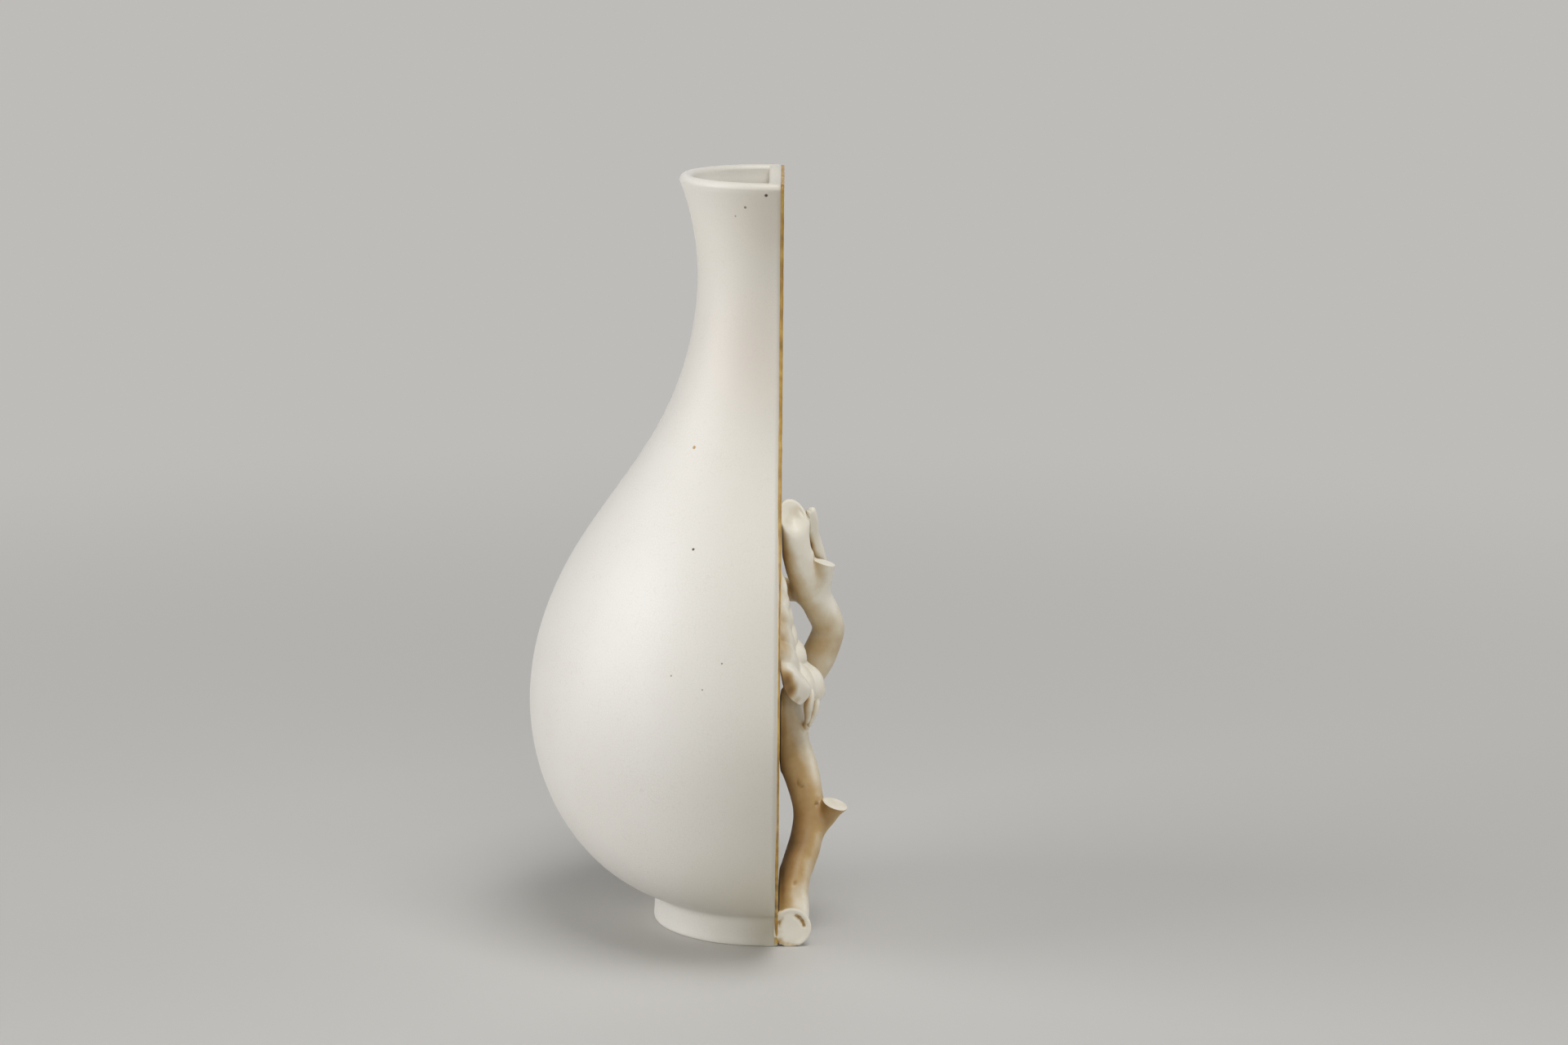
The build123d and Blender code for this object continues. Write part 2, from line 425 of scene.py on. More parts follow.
# Outer face, from the table up into the belly: radius and level
FOOT_OUTER = [
    (43.4, 0.0),
    (43.85, 0.25),
    (44.0, 0.8),
    (43.9, 3.0),
    (43.75, 6.0),
    (43.65, 9.0),
    (43.8, 10.6),
    (44.7, 11.9),
    (46.4, 12.8),
    (48.6, 13.9),
]
# The ring's top, sunk in the belly: radius and level
FOOT_TOP = [
    (48.6, 15.6),
    (44.0, 14.6),
]
# Inner face, from the top down to the table: how far out from the ring's inside, and level
FOOT_INNER = [
    (0.0, 14.0),
    (0.0, 6.0),
    (0.1, 1.4),
    (0.4, 0.5),
    (1.1, 0.0),
    (2.5, 0.0),
]


def foot_side(count):
    """The foot's outer face from the table up into the belly."""
    return smooth_line([(0, radius, level) for radius, level in FOOT_OUTER], count)


def foot_outline():
    """Section of the foot ring, closed."""
    inside = [(0, FOOT_RADIUS - FOOT_WIDTH + out, level) for out, level in FOOT_INNER]
    top = [(0, radius, level) for radius, level in FOOT_TOP]
    return np.concatenate([inside, foot_side(FOOT_ROWS), top, inside[:1]])


foot_mesh = shaped(wheel, foot_outline(), {
    "Steps": FOOT_STEPS,
    "Unevenness": FOOT_UNEVENNESS * MM,
    "Material": white_glaze,
})
piece("foot_ring", foot_mesh)

# Back slab
# A rolled slab of clay cut to the bottle's outline, luted over the cut so that its edge lies flush.
# Its two arrises are softened by the sponge and by the glaze.
SLAB = 6.0
ARRIS = 0.6
CORNER = WALL / 2
INNER_ROUND = 1.6
TOP_DROOP = 0.9
MOUTH_RADIUS = 30.0
SLAB_INSET = 0.03
SLAB_ROWS = 260
CORNER_STEPS = 12
RIM_STEPS = 8
TOP_STEPS = 20
ARRIS_STEPS = 6
# Least rise from the last point of the foot to the first of the wall
FOOT_TO_WALL = 0.25
# The bed of the ochre line is wiped a little lower than the rest of the edge
LINE_WIDTH = 1.5
LINE_BED = 0.25
BED_START = SLAB - LINE_WIDTH - 0.1
BED_FULL = SLAB - LINE_WIDTH + 0.05
# Shares of the top's droop where the bed starts, where it is full, and at the outer arris
DROOPS = (0.2, 0.3, 0.7)


def slab_side():
    """Half of the slab's outline, from the table over the lip and along the top edge."""
    foot = foot_side(FOOT_ROWS)[2:-1]
    wall = shell_side(0, SLAB_ROWS)
    wall = wall[wall[:, 2] > foot[-1][2] + FOOT_TO_WALL]
    turn = np.linspace(0, math.pi / 2, CORNER_STEPS)[1:]
    middle = wall[-1] - (0, CORNER, 0)
    lip = [middle + CORNER * np.array([0, math.cos(a), math.sin(a)]) for a in turn]
    rim = np.linspace(MOUTH_RADIUS + CORNER, MOUTH_RADIUS, RIM_STEPS)[1:-1]
    across = np.linspace(MOUTH_RADIUS, 0, TOP_STEPS)[:-1]
    top = [(0, y, HEIGHT) for y in np.concatenate([rim, across])]
    return np.concatenate([[(0, foot[0][1], 0)], foot, wall, lip, top])


def slab_ring(side, inset, out, mouth=0.0, droop=0.0):
    """The slab's outline, drawn in and moved out. Its top drops in the mouth, or by a share of the droop."""
    run = np.gradient(side, axis=0)
    run /= np.linalg.norm(run, axis=1)[:, None]
    half = side + inset * np.stack([run[:, 0], -run[:, 2], run[:, 1]], axis=1)
    half[0] = side[0] + (0, -inset, inset)
    half[-1] = side[-1] - (0, 0, inset)
    top = np.clip((half[:, 2] - HEIGHT + CORNER) / CORNER, 0, 1)
    # Inside the lip's crest the top falls with the lip's own round
    past = np.clip((MOUTH_RADIUS + CORNER - half[:, 1]) / CORNER, 0, 1)
    fall = np.minimum(CORNER * (1 - np.sqrt(1 - past**2)), mouth)
    half[:, 2] -= top * (fall + droop * TOP_DROOP)
    half[:, 0] = out
    return np.concatenate([half, half[::-1] * (1, -1, 1)])


def stacked(rings, start_point=None, end_point=None):
    """Closed mesh through rings of equal count. Its two ends are filled, or drawn to a point."""
    count = len(rings[0])
    points = [Vector(p) * MM for ring in rings for p in ring]
    faces = []
    for k in range(len(rings) - 1):
        for i in range(count):
            j = (i + 1) % count
            faces.append((k * count + i, k * count + j, (k + 1) * count + j, (k + 1) * count + i))
    for end_place, first in ((start_point, 0), (end_point, (len(rings) - 1) * count)):
        if end_place is not None:
            tip = len(points)
            points.append(Vector(end_place) * MM)
            for i in range(count):
                faces.append((first + i, first + (i + 1) % count, tip))
    mesh = bpy.data.meshes.new("stacked")
    mesh.from_pydata(points, [], faces)
    for face in mesh.polygons:
        face.use_smooth = True
    work = bmesh.new()
    work.from_mesh(mesh)
    bmesh.ops.recalc_face_normals(work, faces=work.faces)
    work.to_mesh(mesh)
    work.free()
    close_up(mesh)
    return mesh


side = slab_side()
corner = np.linspace(0, math.pi / 2, ARRIS_STEPS)
slab_rings = []
for a in corner:
    out, drop = INNER_ROUND * (1 - math.cos(a)), INNER_ROUND * (1 - math.sin(a))
    slab_rings.append(slab_ring(side, SLAB_INSET, out, drop))
slab_rings.append(slab_ring(side, SLAB_INSET, SLAB / 2))
slab_rings.append(slab_ring(side, SLAB_INSET, BED_START, droop=DROOPS[0]))
slab_rings.append(slab_ring(side, LINE_BED, BED_FULL, droop=DROOPS[1]))
for a in corner:
    inset, out = LINE_BED + ARRIS * (1 - math.cos(a)), SLAB - ARRIS * (1 - math.sin(a))
    slab_rings.append(slab_ring(side, inset, out, droop=DROOPS[2]))
piece("back_slab", stacked(slab_rings), white_glaze)

# Ochre edge line
# A line of ochre slip brushed by hand along the slab's outer arris, under a clear glaze.
# It runs up both sides and over the top, swelling and thinning with the brush.
LINE_START = 1.0
LINE_HEIGHT = 1.1
LINE_SINK = 0.02
LINE_SIDES = 14
LINE_DROOP = 0.5
# The hand's tremble, and how long the brush's strokes are
TREMBLE = 0.06
TREMBLES_PER_METRE = 160.0
STROKE = 6.0
# How wide the brush drew the line: level and share of the full width
LINE_STROKE = [
    (0.0, 1.0),
    (45.0, 0.9),
    (62.0, 0.62),
    (150.0, 0.58),
    (166.0, 0.8),
    (180.0, 1.0),
    (300.0, 1.0),
]
# Tones of the slip from thick to thin: place on the ramp and colour
OCHRE_TONES = [
    (0.3, "93702E"),
    (0.5, "B38C3E"),
    (0.7, "C9A756"),
]
SLIP_ROUGHNESS = 0.42
# Nearly all of a noise pattern lies between these two values
NOISE_SPAN = (0.3, 0.7)


def set_tones(ramp, rows):
    """Gives a colour ramp its tones."""
    first, *between, last = rows
    for stop, (position, shade) in zip(ramp.elements, (first, last)):
        stop.position = position
        stop.color = colour(shade)
    for position, shade in between:
        ramp.elements.new(position).color = colour(shade)


brush, given = shape_tree("brushed_line", [
    ("Path", "NodeSocketGeometry"),
    ("Width", "NodeSocketFloat"),
    ("Height", "NodeSocketFloat"),
])
path = put(brush, "GeometryNodeMeshToCurve", {"Mesh": given["Path"]})
path = put(brush, "GeometryNodeSetCurveNormal", {"Curve": path, "Normal": (1.0, 0.0, 0.0)}, mode="FREE")
half_width = put(brush, "ShaderNodeMath", {0: given["Width"], 1: 0.5}, operation="MULTIPLY")
dab = put(brush, "GeometryNodeCurvePrimitiveCircle", {
    "Resolution": LINE_SIDES,
    "Radius": half_width,
}, mode="RADIUS")
flat = put(brush, "ShaderNodeMath", {0: given["Height"], 1: given["Width"]}, operation="DIVIDE")
flat = put(brush, "ShaderNodeCombineXYZ", {"X": 1.0, "Y": flat, "Z": 1.0})
dab = put(brush, "GeometryNodeTransform", {"Geometry": dab, "Scale": flat})
swept = put(brush, "GeometryNodeCurveToMesh", {"Curve": path, "Profile Curve": dab, "Fill Caps": True})
hand = put(brush, "ShaderNodeTexNoise", {"Scale": TREMBLES_PER_METRE, "Detail": 2.0})
hand = put(brush, "ShaderNodeMapRange", {
    "Value": hand,
    "From Min": NOISE_SPAN[0],
    "From Max": NOISE_SPAN[1],
    "To Min": -TREMBLE * MM,
    "To Max": TREMBLE * MM,
})
hand = put(brush, "ShaderNodeCombineXYZ", {"X": hand})
uneven = put(brush, "GeometryNodeSetPosition", {"Geometry": swept, "Offset": hand})
shape_done(brush, given, uneven)

# Ochre slip: iron in the clay, brushed thin here and thick there, so it runs from gold to brown
ochre_slip, tree, place = glaze("ochre_slip_under_glaze")
strokes = put(tree, "ShaderNodeTexNoise", {"Vector": place, "Scale": 1 / (STROKE * MM), "Detail": 4.0})
depth = put(tree, "ShaderNodeValToRGB", {"Fac": strokes})
set_tones(depth.color_ramp, OCHRE_TONES)
fired = put(tree, "ShaderNodeBsdfPrincipled", {"Base Color": depth, "Roughness": SLIP_ROUGHNESS})
put(tree, "ShaderNodeOutputMaterial", {"Surface": fired})

line_side = slab_ring(side, LINE_HEIGHT / 2 + LINE_SINK, SLAB - LINE_WIDTH / 2, droop=LINE_DROOP)
line_side = line_side[line_side[:, 2] >= LINE_START]
line_mesh = shaped(brush, line_side, {
    "Width": LINE_WIDTH * MM,
    "Height": LINE_HEIGHT * MM,
    "Material": ochre_slip,
})
levels, shares = zip(*LINE_STROKE)
for vertex in line_mesh.vertices:
    drawn = np.interp(vertex.co.z / MM, levels, shares)
    vertex.co.x = SLAB * MM - (SLAB * MM - vertex.co.x) * drawn
piece("ochre_edge_line", line_mesh)

# Main branch
# A rope of clay rolled and bent like a living limb, from the sawn log at the foot to a sawn top.
# It is luted to the slab low down and behind its bends, and arches off the slab between.
LOG_INSET = 1.0
# Each row is out from the slab's face, along from the log end, up from the table, and radius
LIMBS = {
    "main_branch": [
        (5.0, 0.5, 7.4, 7.9),
        (5.0, 2.2, 7.4, 7.6),
        (5.4, 4.2, 8.0, 6.7),
        (6.0, 8.5, 10.2, 6.3),
        (6.0, 14.0, 17.0, 5.9),
        (7.2, 20.5, 25.5, 6.3),
        (10.2, 27.0, 33.5, 6.6),
        (11.9, 33.0, 43.5, 6.0),
        (10.0, 39.0, 56.0, 6.9),
        (7.3, 43.0, 64.5, 7.2),
        (5.6, 45.4, 70.4, 6.4),
        (5.2, 47.5, 76.0, 6.1),
        (5.2, 51.0, 86.0, 5.7),
        (10.6, 54.0, 96.0, 6.4),
        (17.2, 55.0, 108.8, 6.8),
        (19.2, 53.8, 116.3, 6.4),
        (16.6, 51.3, 124.5, 6.4),
        (12.4, 48.8, 132.5, 6.4),
        (8.9, 46.4, 139.8, 6.1),
        (6.5, 43.6, 149.5, 5.7),
        (5.2, 41.4, 159.0, 5.7),
        (4.4, 39.6, 168.0, 5.9),
        (4.0, 38.2, 176.0, 5.9),
    ],
    "lower_stub": [
        (11.5, 33.6, 37.5, 4.6),
        (15.4, 32.6, 41.0, 4.5),
        (19.1, 31.4, 44.8, 4.1),
        (21.2, 30.2, 48.4, 4.5),
        (22.2, 29.6, 50.1, 5.1),
        (23.7, 28.6, 53.4, 5.4),
    ],
    "upper_stub": [
        (14.0, 49.2, 129.0, 3.8),
        (16.0, 46.4, 136.5, 4.0),
        (17.1, 44.1, 144.1, 4.3),
        (17.8, 42.6, 149.0, 4.6),
    ],
    "limb_prop": [
        (11.5, 49.5, 133.0, 5.2),
        (6.0, 54.5, 131.8, 4.6),
        (-3.0, 61.0, 130.6, 5.4),
    ],
    "side_twig": [
        (13.6, 51.0, 131.0, 2.4),
        (15.9, 53.0, 138.5, 2.5),
        (15.5, 52.2, 144.5, 2.6),
        (13.6, 49.2, 152.0, 2.6),
        (12.5, 46.6, 157.5, 2.2),
        (12.0, 44.8, 161.8, 1.3),
    ],
    "twig_bud": [
        (12.7, 47.2, 156.2, 1.4),
        (12.5, 45.9, 159.4, 1.95),
        (12.2, 44.4, 162.8, 2.0),
        (12.0, 43.4, 165.2, 1.8),
        (11.95, 43.0, 166.2, 1.6),
    ],
    "leaf_stalk": [
        (10.6, 32.0, 98.0, 1.2),
        (11.9, 30.0, 94.0, 1.7),
        (11.4, 30.4, 90.4, 1.8),
        (11.2, 34.0, 86.2, 1.4),
        (11.0, 40.0, 81.0, 1.1),
        (10.4, 45.5, 76.0, 0.8),
    ],
    "bud_leaf": [
        (13.0, 39.0, 93.5, 1.2),
        (14.0, 38.0, 88.8, 1.9),
        (13.0, 38.6, 84.5, 1.9),
        (12.0, 39.4, 80.4, 0.9),
    ],
}
# Width of the soft fillet where two limbs are luted together, or a limb to the slab
FILLETS = [
    ("main_branch", "lower_stub", 3.2),
    ("main_branch", "upper_stub", 2.8),
    ("main_branch", "limb_prop", 3.0),
    ("main_branch", "side_twig", 2.2),
    ("main_branch", "leaf_stalk", 1.4),
    ("main_branch", "slab", 2.0),
    ("limb_prop", "slab", 2.2),
    ("side_twig", "twig_bud", 1.6),
    ("main_branch", "twig_bud", 2.6),
]
# Finger marks in the clay: the run of a wave in turns to the millimetre, its depth and its shift
FINGER_WAVES = [
    ((0.21, 0.09, 0.13), 0.13, 0.4),
    ((-0.12, 0.24, 0.10), 0.12, 1.9),
    ((0.10, -0.15, 0.29), 0.10, 3.1),
    ((0.41, 0.33, -0.22), 0.05, 5.0),
    ((-0.36, 0.18, 0.47), 0.04, 0.9),
]
# Marks pressed into the bark: place, radius, depth
PRICKS = [
    ((20.7, -12.8, 50.0), 0.55, 0.8),
    ((12.4, -32.3, 22.6), 0.7, 0.45),
    ((9.0, -34.0, 25.5), 0.6, 0.3),
    ((6.6, -43.0, 2.4), 1.1, 0.6),
    ((8.0, -43.0, 1.3), 1.0, 0.6),
    ((9.8, -43.0, 0.9), 1.1, 0.55),
    ((11.8, -43.0, 0.4), 1.1, 0.5),
    ((13.4, -43.0, 0.3), 0.8, 0.4),
]
# A knot in the bark: its middle, then the radius and the height of its low swelling
KNOT = (14.9, -10.6, 58.1)
KNOT_SWELL = (1.4, 0.3)
# The crescent crease on the knot's lower left: reach, width, depth and spread
KNOT_CREASE = (1.7, 0.4, 0.35, 0.25)
# Length of a step of one out and one up
DIAGONAL = 1.42
# Each cut is a place on its plane, then the way that it faces
TOP_CUT = ((0.0, 44.9, 171.6), (0.2, -0.82, 0.54))
LOWER_CUT = ((22.1, 29.7, 50.0), (0.29, -0.17, 0.94))
UPPER_CUT = ((17.2, 44.0, 145.2), (0.28, -0.02, 0.96))
# Where a wet sponge rounded the lower edge of the sawn top: place and reach
TOP_SPONGED = ((5.0, 36.0, 156.5), 9.0)
SPONGE_PASSES = 60
# Share of a limb's length, from its root, that a saw cut leaves alone
UNSAWN = 0.55
# How fast, and how far at most, a bending limb is kept behind its end face
END_SLOPE = 0.1
END_DEPTH = 1.6
TABLE_GAP = 0.02
# Points on a limb's own line, at least and for each of its rows
LINE_POINTS = 12
ROW_POINTS = 4
# Luting draws the clay into fillets in passes, each with a small test step, a largest move and a least slope
LUTING_PASSES = 5
LUTING_TEST = 0.02
LUTING_MOVE = 0.7
LUTING_SLOPE = 0.25
# Rows of an end face: share of the rim's reach, how far it stands out, share of the groove's depth
LOG_END = [
    (0.985, 0.28, 0.0),
    (0.95, 0.52, 0.0),
    (0.89, 0.62, 0.0),
    (0.82, 0.55, 0.0),
    (0.745, 0.44, 0.1),
    (0.70, 0.42, 0.7),
    (0.66, 0.41, 1.0),
    (0.61, 0.41, 0.8),
    (0.56, 0.42, 0.15),
    (0.47, 0.42, 0.0),
    (0.36, 0.38, 0.0),
    (0.18, 0.3, 0.0),
]
TOP_END = [
    (0.985, 0.2, 0.0),
    (0.95, 0.40, 0.0),
    (0.90, 0.50, 0.0),
    (0.83, 0.44, 0.0),
    (0.78, 0.30, 0.4),
    (0.74, 0.18, 1.0),
    (0.70, 0.08, 0.5),
    (0.62, -0.16, 0.0),
    (0.50, -0.55, 0.0),
    (0.40, -0.85, 0.0),
    (0.28, -1.10, 0.0),
    (0.14, -1.22, 0.0),
]
PLAIN_CUT = [
    (0.985, 0.1, 0.0),
    (0.94, 0.15, 0.0),
    (0.8, 0.12, 0.0),
    (0.6, 0.03, 0.0),
    (0.4, -0.05, 0.0),
    (0.2, -0.1, 0.0),
]
ROUND_TIP = [
    (0.97, 0.4, 0.0),
    (0.88, 0.75, 0.0),
    (0.74, 1.05, 0.0),
    (0.55, 1.3, 0.0),
    (0.32, 1.45, 0.0),
    (0.14, 1.52, 0.0),
]
# Grooves in an end face: middle turn and half turn in degrees, depth
LOG_GROOVES = [(322.0, 36.0, 1.3), (205.0, 26.0, 0.7)]
TOP_GROOVES = [(40.0, 20.0, 0.5)]
# How proud the near side of the sawn top's rim is, as a share of its far side
TOP_NEAR_SIDE = 0.1
# Cut faces are wiped clean of the iron wash: a place on the face, the way that it faces, its reach
WIPED_FACES = [
    ((5.0, -0.3, 7.4), (0.0, -1.0, 0.0), 8.8),
    ((4.6, 41.0, 165.5), TOP_CUT[1], 8.6),
    ((22.2, 29.6, 50.2), LOWER_CUT[1], 6.5),
    ((17.2, 44.0, 145.3), UPPER_CUT[1], 5.4),
]


def on_slab(rows):
    """Rows out from the slab, along from the log end and up, as places in the frame."""
    placed = np.array(rows, float)
    placed[:, 0] += SLAB
    placed[:, 1] -= FOOT_RADIUS - LOG_INSET
    return placed


def finger_marks(points):
    """How far the clay stands out of a smooth limb at each point."""
    return sum(depth * np.sin(points @ np.array(run) + shift) for run, depth, shift in FINGER_WAVES)


def limb_gap(points, line):
    """How far points lie off a limb's skin, below zero inside it."""
    nearest = np.full(len(points), np.inf)
    for a, b in zip(line[:-1], line[1:]):
        run = b[:3] - a[:3]
        away = points - a[:3]
        share = np.clip(away @ run / (run @ run), 0, 1)
        off = np.linalg.norm(away - share[:, None] * run, axis=1)
        nearest = np.minimum(nearest, off - a[3] - share * (b[3] - a[3]))
    return nearest - finger_marks(points)


def slab_gap(points, line):
    """How far points lie off the slab's face."""
    return points[:, 0] - SLAB


def shared_skin(points, own, joins):
    """Points against the skin a limb shares with those it joins, how deep they sit, and reach."""
    first = limb_gap(points, own)
    field = first.copy()
    depth = np.zeros(len(points))
    reach = np.zeros(len(points), bool)
    for gap, line, fillet in joins:
        other = gap(points, line)
        over = np.clip(first - other, 0, None)
        depth = np.maximum(depth, np.where(over < fillet, over**2 / fillet, over))
        reach |= np.abs(first - other) < fillet
        near = np.clip(fillet - np.abs(field - other), 0, None)
        field = np.minimum(field, other) - near**2 / (4 * fillet)
    return field, depth, reach


def luted(points, own, joins):
    """Draws a limb's points out into soft fillets where it joins others."""
    placed = points.copy()
    active = np.nonzero(shared_skin(placed, own, joins)[2])[0]
    for turn in range(LUTING_PASSES):
        spots = placed[active]
        field, depth, reach = shared_skin(spots, own, joins)
        slope = np.zeros_like(spots)
        for axis in range(3):
            nudge = np.zeros(3)
            nudge[axis] = LUTING_TEST
            ahead = shared_skin(spots + nudge, own, joins)[0]
            behind = shared_skin(spots - nudge, own, joins)[0]
            slope[:, axis] = (ahead - behind) / (2 * LUTING_TEST)
        steep = np.clip((slope**2).sum(axis=1), LUTING_SLOPE, None)
        move = np.clip((-depth - field) / steep, -LUTING_MOVE, LUTING_MOVE)
        placed[active] = spots + slope * move[:, None]
    return placed


def limb_rings(line, columns):
    """Rings of points round a limb, square to its run. They start on its outer side."""
    run = np.gradient(line[:, :3], axis=0)
    run /= np.linalg.norm(run, axis=1)[:, None]
    across = np.array([1.0, 0, 0]) - run[:, :1] * run
    across /= np.linalg.norm(across, axis=1)[:, None]
    behind = np.cross(run, across)
    turns = np.arange(columns) * 2 * math.pi / columns
    spokes = across[:, None] * np.cos(turns)[None, :, None]
    spokes = spokes + behind[:, None] * np.sin(turns)[None, :, None]
    return line[:, None, :3] + line[:, None, 3:] * spokes


def bark_marks(points):
    """Depth of the pricks and of the crescent knot at each point."""
    depth = np.zeros(len(points))
    for spot, radius, deep in PRICKS:
        off = np.linalg.norm(points - np.array(spot), axis=1)
        depth += deep * np.exp(-((off / radius) ** 2))
    away = points - np.array(KNOT)
    off = np.linalg.norm(away, axis=1)
    reach, wide, deep, spread = KNOT_CREASE
    low_left = np.clip(-(away[:, 0] + away[:, 2]) / (DIAGONAL * off + 1e-6) + spread, 0, 1)
    depth += deep * low_left * np.exp(-(((off - reach) / wide) ** 2))
    radius, high = KNOT_SWELL
    return depth - high * np.exp(-((off / radius) ** 2))


def end_face(rim, outward, rows, grooves=(), proud=1.0):
    """Rings of an end face from its rim inwards, and its middle. The rim's near side stands less proud."""
    middle = rim.mean(axis=0)
    turns = np.arange(len(rim)) * 2 * math.pi / len(rim)
    near = (1 - proud) * (0.5 - 0.5 * np.sin(turns))
    cut = np.zeros(len(rim))
    for middle_turn, half_turn, deep in grooves:
        off = (np.degrees(turns) - middle_turn + 180) % 360 - 180
        cut = np.maximum(cut, deep * np.sqrt(np.clip(1 - (off / half_turn) ** 2, 0, 1)))
    rings = []
    for reach, stand, groove in rows:
        height = stand * (1 - reach * near) - groove * cut
        rings.append(middle + (rim - middle) * reach + height[:, None] * outward)
    return rings, middle + rows[-1][1] * outward


def sawn(rings, place, facing):
    """Rings of a limb whose upper end is drawn back to a cut plane, column by column."""
    count, columns = rings.shape[:2]
    keep = int(count * UNSAWN)
    place = on_slab([place])[0]
    past = (rings - place) @ np.array(facing)
    cut = rings.copy()
    for i in range(columns):
        first = np.nonzero(past[:, i] > 0)[0][0]
        share = past[first - 1, i] / (past[first - 1, i] - past[first, i])
        at = np.linspace(keep, first - 1 + share, count - keep)
        for axis in range(3):
            cut[keep:, i, axis] = np.interp(at, np.arange(count), rings[:, i, axis])
    return cut


def sponged(rings, spot, reach):
    """Rounds the edges of a limb's rings about one spot."""
    grid = np.stack(rings)
    held = np.clip(2 - 2 * np.linalg.norm(grid - on_slab([spot])[0], axis=2) / reach, 0, 1)
    for stroke in range(SPONGE_PASSES):
        beside = (np.roll(grid, 1, axis=1) + np.roll(grid, -1, axis=1)) / 2
        beside[1:-1] = (beside[1:-1] + (grid[:-2] + grid[2:]) / 2) / 2
        grid = grid + held[:, :, None] * (beside - grid)
    return list(grid)


def limb(name, count, columns, start=None, end=None, cut=None, soft=None):
    """One limb's mesh with finger marks, fillets, bark marks and its two ends.

    An end is the rows of its face and its grooves. With none, it is sunk in another limb.
    """
    rings = limb_rings(smooth_line(on_slab(LIMBS[name]), count), columns)
    if cut is not None:
        rings = sawn(rings, *cut)
    middles = rings.mean(axis=1)
    points = rings.reshape(-1, 3)
    spokes = (rings - middles[:, None]).reshape(-1, 3)
    spokes /= np.linalg.norm(spokes, axis=1)[:, None]
    points = points + spokes * finger_marks(points)[:, None]
    plain = points.reshape(count, columns, 3)
    joins = []
    for one, two, fillet in FILLETS:
        if name in (one, two):
            other = two if name == one else one
            joins.append((slab_gap if other == "slab" else limb_gap, limb_lines.get(other), fillet))
    if joins:
        points = luted(points, limb_lines[name], joins)
    points = points - spokes * bark_marks(points)[:, None]
    rings = list(points.reshape(count, columns, 3))
    start_point = rings[0].mean(axis=0)
    end_point = rings[-1].mean(axis=0)
    if start:
        facing = (middles[0] - middles[1]) / np.linalg.norm(middles[0] - middles[1])
        # A limb that bends close to its end stays behind the end face
        for k, ring in enumerate(rings):
            past = np.clip((ring - middles[0]) @ facing + min(END_SLOPE * k, END_DEPTH), 0, None)
            ring -= past[:, None] * facing
        face, start_point = end_face(plain[0], facing, *start)
        face = [ring - facing * bark_marks(ring)[:, None] for ring in face]
        rings = face[::-1] + rings
    if end:
        facing = (middles[-1] - middles[-2]) / np.linalg.norm(middles[-1] - middles[-2])
        if cut is not None:
            facing = np.array(cut[1])
        face, end_point = end_face(plain[-1], facing, *end)
        rings = rings + face
    if soft:
        rings = sponged(rings, *soft)
    for ring in rings:
        ring[:, 2] = np.maximum(ring[:, 2], TABLE_GAP)
    return stacked(rings, start_point, end_point)


limb_lines = {}
for name, rows in LIMBS.items():
    limb_lines[name] = smooth_line(on_slab(rows), LINE_POINTS + ROW_POINTS * len(rows))

# Branch glaze: the white satin glaze over an iron wash that was wiped off the high places, with painted shade
# The wash stays tan to dark brown in hollows; under bends, low on the trunk and along the slab it also
# carries painted shade.
# Tones from clean to thick wash, which also give the painted shade: place on the ramp and colour
WASH_AND_SHADE_TONES = [
    (0.08, "EAE4D5"),
    (0.22, "D6C9AE"),
    (0.45, "B99A68"),
    (0.7, "94703E"),
    (1.0, "5E4522"),
]
MOTTLE = 7.0
MOTTLE_STRENGTH = 0.07
BRANCH_PEEL = 1.4
BRANCH_PEEL_STRENGTH = 0.15
BRANCH_ROUGHNESS = 0.42
branch_glaze, tree, place = glaze("cream_glaze_over_iron_wash_and_painted_shade")
wash_and_shade_share = put(tree, "ShaderNodeAttribute", attribute_name="wash_and_shade").outputs["Fac"]
mottle = put(tree, "ShaderNodeTexNoise", {"Vector": place, "Scale": 1 / (MOTTLE * MM), "Detail": 4.0})
mottled_wash_and_shade = put(tree, "ShaderNodeMapRange", {
    "Value": mottle,
    "From Min": NOISE_SPAN[0],
    "From Max": NOISE_SPAN[1],
    "To Min": -MOTTLE_STRENGTH,
    "To Max": MOTTLE_STRENGTH,
})
mottled_wash_and_shade = put(tree, "ShaderNodeMath", {0: wash_and_shade_share, 1: mottled_wash_and_shade}, operation="ADD")
depth = put(tree, "ShaderNodeValToRGB", {"Fac": mottled_wash_and_shade})
set_tones(depth.color_ramp, WASH_AND_SHADE_TONES)
peel = put(tree, "ShaderNodeTexNoise", {"Vector": place, "Scale": 1 / (BRANCH_PEEL * MM), "Detail": 2.0})
relief = put(tree, "ShaderNodeBump", {
    "Height": peel,
    "Strength": BRANCH_PEEL_STRENGTH,
    "Distance": PEEL_DEPTH * MM,
})
fired = put(tree, "ShaderNodeBsdfPrincipled", {
    "Base Color": depth,
    "Roughness": BRANCH_ROUGHNESS,
    "Normal": relief,
})
put(tree, "ShaderNodeOutputMaterial", {"Surface": fired})

branch_pieces = []


def branch_piece(name, mesh):
    """Adds one piece of the branch in its glaze. The iron wash and painted shade come once all of them are
    there.
    """
    branch_pieces.append(piece(name, mesh, branch_glaze))


main_limb = limb(
    "main_branch",
    count=240,
    columns=72,
    start=(LOG_END, LOG_GROOVES),
    end=(TOP_END, TOP_GROOVES, TOP_NEAR_SIDE),
    cut=TOP_CUT,
    soft=TOP_SPONGED,
)
branch_piece("main_branch", main_limb)

